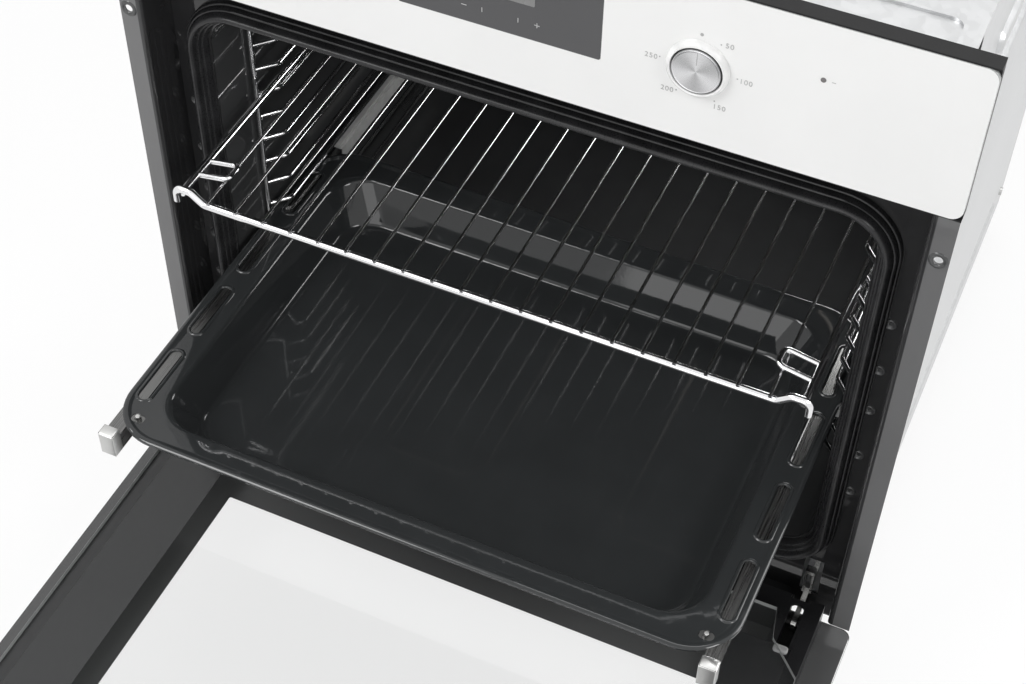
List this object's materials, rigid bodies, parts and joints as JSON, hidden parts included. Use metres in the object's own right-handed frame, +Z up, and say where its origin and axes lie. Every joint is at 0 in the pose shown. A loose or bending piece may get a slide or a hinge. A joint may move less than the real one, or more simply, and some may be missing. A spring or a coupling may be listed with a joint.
{
  "type": "built-in oven",
  "caption": "Built-in electric oven with a drop-down glass door, white glass control panel, pop-out knobs, wire rack and a deep tray on telescopic rails.",
  "frame": {"origin": "centre of the casing's base, on the shelf it stands on", "axes": "+Z up, the user stands on the -Y side facing +Y, +X to the user's right; the door lies open towards -Y at rest"},
  "size_m": [0.595, 1.044, 0.626],
  "materials": {
    "white_glass": "gloss white print under glass",
    "door_glass": "white printed border round a dark window",
    "clear_glass": "clear polished",
    "window_glass": "dark polished",
    "charcoal_plastic": "fine grain",
    "grey_enamel": "satin enamel",
    "cavity_enamel": "glossy speckled enamel",
    "tray_enamel": "glossy enamel",
    "galvanised": "galvanised sheet",
    "silicone": "ribbed matte",
    "wool": "fibrous",
    "chrome_wire": "bright plated",
    "rail_steel": "bright drawn",
    "hinge_steel": "bright zinc",
    "handle_steel": "brushed",
    "white_plastic": "gloss",
    "spun_metal": "spun",
    "shaft_steel": "turned",
    "element_steel": "heat-darkened tube",
    "fan_steel": "pressed sheet",
    "motor_paint": "dark paint",
    "lamp_ceramic": "unglazed",
    "lamp_clear": "clear pressed",
    "black_plastic": "moulded",
    "signal_red": "tinted lens"
  },
  "bodies": {
    "housing": {"control_panel_glass": "white_glass", "clock_window": "window_glass", "control_panel_carrier": "charcoal_plastic", "clock_module": "charcoal_plastic", "thermostat": "charcoal_plastic", "function_switch": "charcoal_plastic", "front_frame": "grey_enamel", "cavity_liner": "cavity_enamel", "fan_baffle": "cavity_enamel", "side_panel_left": "galvanised", "side_panel_right": "galvanised", "top_cover": "galvanised", "rear_panel": "galvanised", "base_plate": "galvanised", "duct_floor_plate": "galvanised", "hinge_receivers": "galvanised", "blower_housing": "galvanised", "door_gasket": "silicone", "insulation_blanket": "wool", "side_rack_left": "chrome_wire", "side_rack_right": "chrome_wire", "rail_channels": "rail_steel", "hinge_arms": "hinge_steel", "housing_screws": "hinge_steel", "temperature_collar": "white_plastic", "function_collar": "white_plastic", "grill_element": "element_steel", "base_element": "element_steel", "ring_element": "element_steel", "fan_motor": "motor_paint", "blower_motor": "motor_paint", "lamp_holder": "lamp_ceramic", "lamp_glass": "lamp_clear", "lamp_bulb": "lamp_clear", "terminal_box": "black_plastic", "signal_lens": "signal_red"},
    "door": {"door_outer_glass": "door_glass", "door_middle_glass": "clear_glass", "door_inner_glass": "clear_glass", "door_column_left": "charcoal_plastic", "door_column_right": "charcoal_plastic", "door_top_trim": "charcoal_plastic", "door_bottom_rail": "charcoal_plastic", "door_handle": "handle_steel", "hinge_channels": "hinge_steel", "door_screws": "hinge_steel"},
    "tray_carriage": {"baking_tray": "tray_enamel", "rail_slide_left": "rail_steel", "rail_slide_right": "rail_steel"},
    "rail_middles": {"rail_middles": "rail_steel"},
    "wire_rack": {"rack_frame": "chrome_wire", "rack_wires": "chrome_wire"},
    "temperature_shaft": {"temperature_shaft": "shaft_steel"},
    "temperature_knob": {"temperature_knob": "spun_metal"},
    "function_shaft": {"function_shaft": "shaft_steel"},
    "function_knob": {"function_knob": "spun_metal"},
    "hinge_lock_left": {"hinge_lock_left": "hinge_steel"},
    "hinge_lock_right": {"hinge_lock_right": "hinge_steel"},
    "convection_fan": {"fan_blade": "fan_steel"},
    "blower_rotor": {"blower_rotor": "fan_steel"}
  },
  "joints": [
    {"name": "door_hinge", "type": "hinge", "parent": "housing", "child": "door", "pos_m": [0, -0.3026, 0.021], "axis": [-1, 0, 0], "range_deg": [0, 90]},
    {"name": "tray_slide", "type": "slide", "parent": "housing", "child": "tray_carriage", "axis": [0, 1, 0], "range_m": [0, 0.235]},
    {"name": "rail_slide", "type": "slide", "parent": "housing", "child": "rail_middles", "axis": [0, 1, 0], "range_m": [0, 0.1175]},
    {"name": "rack_slide", "type": "slide", "parent": "housing", "child": "wire_rack", "axis": [0, 1, 0], "range_m": [0, 0.095]},
    {"name": "temperature_turn", "type": "hinge", "parent": "housing", "child": "temperature_shaft", "pos_m": [0.129, -0.3, 0.538], "axis": [0, 1, 0], "range_deg": [0, 270]},
    {"name": "temperature_pop", "type": "slide", "parent": "temperature_shaft", "child": "temperature_knob", "axis": [0, -1, 0], "range_m": [0, 0.012]},
    {"name": "function_turn", "type": "hinge", "parent": "housing", "child": "function_shaft", "pos_m": [-0.129, -0.3, 0.538], "axis": [0, 1, 0], "continuous": true},
    {"name": "function_pop", "type": "slide", "parent": "function_shaft", "child": "function_knob", "axis": [0, -1, 0], "range_m": [0, 0.012]},
    {"name": "lock_left", "type": "hinge", "parent": "housing", "child": "hinge_lock_left", "pos_m": [-0.2542, -0.2726, 0.0315], "axis": [1, 0, 0], "range_deg": [0, 90]},
    {"name": "lock_right", "type": "hinge", "parent": "housing", "child": "hinge_lock_right", "pos_m": [0.2542, -0.2726, 0.0315], "axis": [1, 0, 0], "range_deg": [0, 90]},
    {"name": "fan_spin", "type": "hinge", "parent": "housing", "child": "convection_fan", "pos_m": [0, 0.1584, 0.22], "axis": [0, 1, 0], "continuous": true},
    {"name": "blower_spin", "type": "hinge", "parent": "housing", "child": "blower_rotor", "pos_m": [0, 0.1224, 0.505], "axis": [1, 0, 0], "continuous": true}
  ],
  "couplings": [
    {"joint": "tray_slide", "follows": "door_hinge", "m_per_rad": 0.1496},
    {"joint": "rail_slide", "follows": "door_hinge", "m_per_rad": 0.0748},
    {"joint": "rack_slide", "follows": "door_hinge", "m_per_rad": 0.0604}
  ]
}
